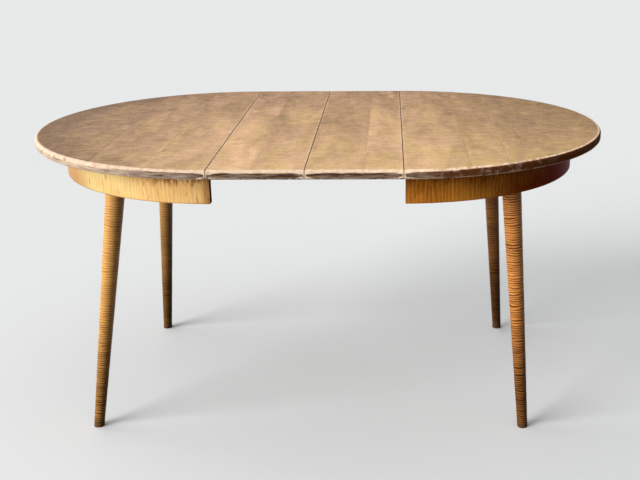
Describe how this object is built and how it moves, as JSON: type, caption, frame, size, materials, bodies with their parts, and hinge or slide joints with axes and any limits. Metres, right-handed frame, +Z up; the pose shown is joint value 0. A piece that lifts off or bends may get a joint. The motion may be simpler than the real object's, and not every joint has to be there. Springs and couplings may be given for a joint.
{
  "type": "extending dining table",
  "caption": "Round dining table that pulls apart on wooden slides to take drop-in leaves, with a split curved apron and splayed tapered round legs in figured maple.",
  "frame": {"origin": "on the floor under the middle of the table as it stands with both leaves in", "axes": "+X along the table towards the right half, +Y from the front to the back, +Z up"},
  "size_m": [1.5156, 1.067, 0.746],
  "materials": {
    "top_maple": "worn satin varnish, fiddleback figure",
    "apron_maple": "amber varnish, fiddleback figure",
    "leg_maple": "amber varnish, fiddleback figure",
    "slide_maple": "planed and waxed",
    "block_maple": "sawn, unfinished",
    "bolt_steel": "plain",
    "screw_steel": "darkened",
    "insert_brass": "plain"
  },
  "bodies": {
    "left_half": {"left_top": "top_maple", "left_apron": "apron_maple", "left_front_leg": "leg_maple", "left_rear_leg": "leg_maple", "left_front_leg_block": "block_maple", "left_rear_leg_block": "block_maple", "left_hanger_bolts": "bolt_steel", "left_bolt_inserts": "insert_brass", "left_block_screws": "screw_steel", "left_glue_blocks": "block_maple", "left_grooved_rail": "slide_maple", "left_tongued_rail": "slide_maple", "left_rail_screws": "screw_steel", "left_slide_stops": "slide_maple"},
    "left_leaf": {"left_leaf": "top_maple", "left_leaf_cleats": "slide_maple", "left_cleat_screws": "screw_steel"},
    "right_half": {"right_top": "top_maple", "right_apron": "apron_maple", "right_front_leg": "leg_maple", "right_rear_leg": "leg_maple", "right_front_leg_block": "block_maple", "right_rear_leg_block": "block_maple", "right_hanger_bolts": "bolt_steel", "right_bolt_inserts": "insert_brass", "right_block_screws": "screw_steel", "right_glue_blocks": "block_maple", "right_grooved_rail": "slide_maple", "right_tongued_rail": "slide_maple", "right_rail_screws": "screw_steel", "right_slide_stops": "slide_maple"},
    "right_leaf": {"right_leaf": "top_maple", "right_leaf_cleats": "slide_maple", "right_cleat_screws": "screw_steel"}
  },
  "joints": [
    {"name": "right_half_slide", "type": "slide", "parent": "left_half", "child": "right_half", "axis": [1, 0, 0], "range_m": [0, 0.1]},
    {"name": "left_leaf_lift", "type": "slide", "parent": "left_half", "child": "left_leaf", "axis": [0, 0, 1], "range_m": [0, 0.25]},
    {"name": "right_leaf_lift", "type": "slide", "parent": "right_half", "child": "right_leaf", "axis": [0, 0, 1], "range_m": [0, 0.25]}
  ]
}
